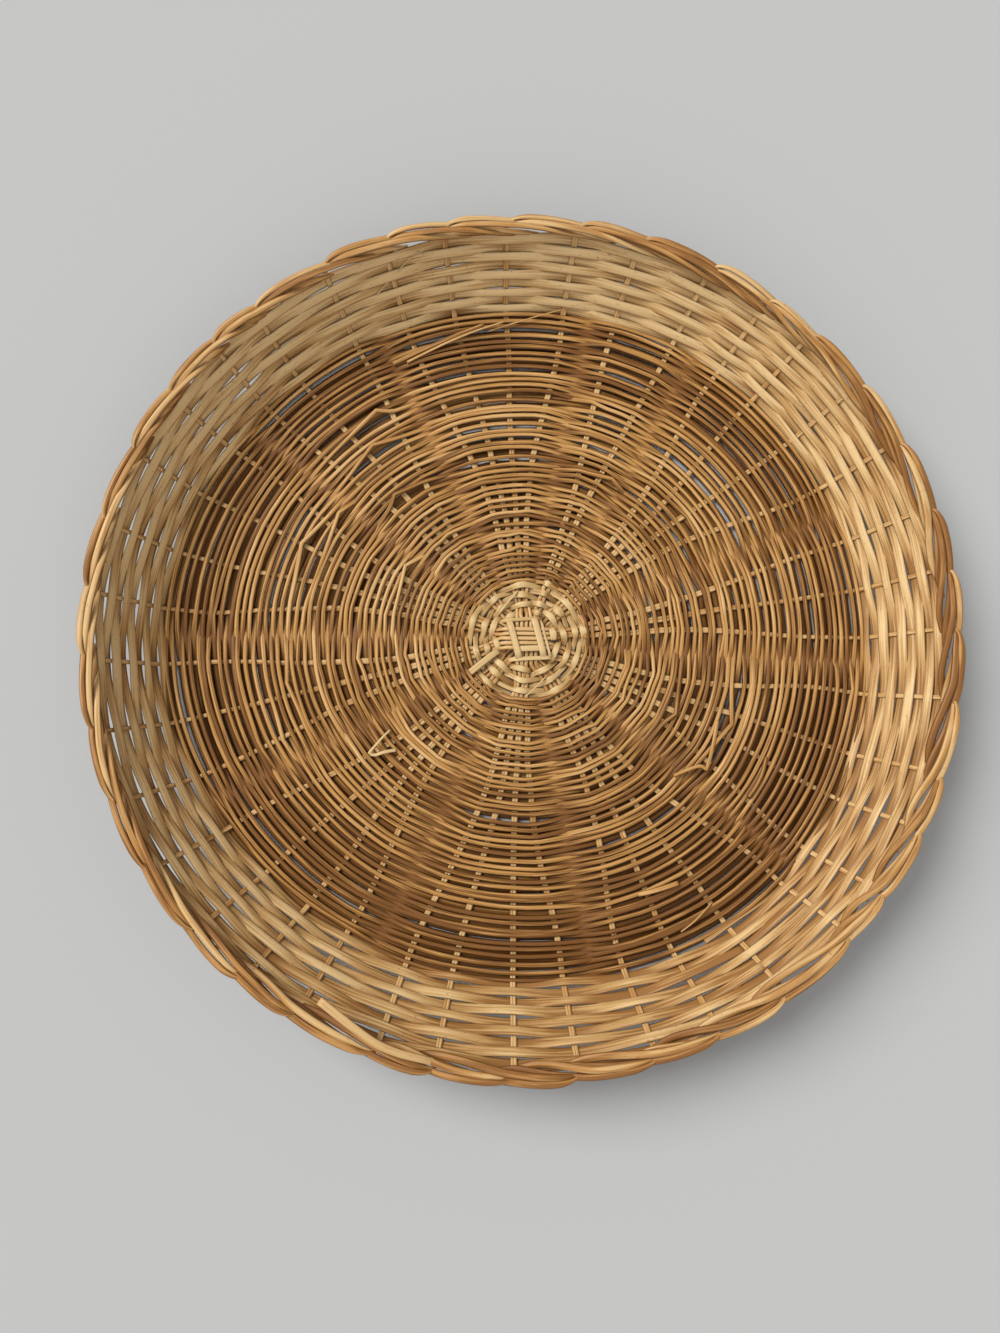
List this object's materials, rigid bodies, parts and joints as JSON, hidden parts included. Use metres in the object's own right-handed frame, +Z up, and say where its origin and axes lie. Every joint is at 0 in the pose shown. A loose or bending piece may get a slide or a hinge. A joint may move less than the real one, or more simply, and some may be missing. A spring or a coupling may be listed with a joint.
{
  "type": "paper plate holder",
  "caption": "Round shallow wicker holder with a woven reed floor, a low flared wall and a plaited border, which stiffens a paper plate.",
  "frame": {"origin": "under the middle of the woven floor, on the plane that the holder stands on", "axes": "+Z up out of the bowl, +X along the top set of stakes at the centre, +Y along the next set"},
  "size_m": [0.2538, 0.2539, 0.027],
  "materials": {
    "stake_reed": "peeled reed, tan to caramel, satin",
    "pale_cane": "flat straw-coloured cane, satin",
    "fine_reed": "fine golden brown reed, satin with darker streaks",
    "wide_reed": "flat straw-tan reed with long grain, satin"
  },
  "bodies": {
    "root": {"stake_01": "stake_reed", "stake_02": "stake_reed", "stake_03": "stake_reed", "stake_04": "stake_reed", "stake_05": "stake_reed", "stake_06": "stake_reed", "stake_07": "stake_reed", "stake_08": "stake_reed", "stake_09": "stake_reed", "stake_10": "stake_reed", "stake_11": "stake_reed", "stake_12": "stake_reed", "stake_13": "stake_reed", "stake_14": "stake_reed", "stake_15": "stake_reed", "stake_16": "stake_reed", "stake_17": "stake_reed", "stake_18": "stake_reed", "stake_19": "stake_reed", "stake_20": "stake_reed", "centre_binder": "pale_cane", "centre_cane_01": "pale_cane", "centre_cane_02": "pale_cane", "fine_reed_01": "fine_reed", "fine_reed_02": "fine_reed", "fine_reed_03": "fine_reed", "fine_reed_04": "fine_reed", "fine_reed_05": "fine_reed", "fine_reed_06": "fine_reed", "fine_reed_07": "fine_reed", "fine_reed_08": "fine_reed", "wide_reed_01": "wide_reed", "wide_reed_02": "wide_reed", "wide_reed_03": "wide_reed"}
  },
  "joints": []
}
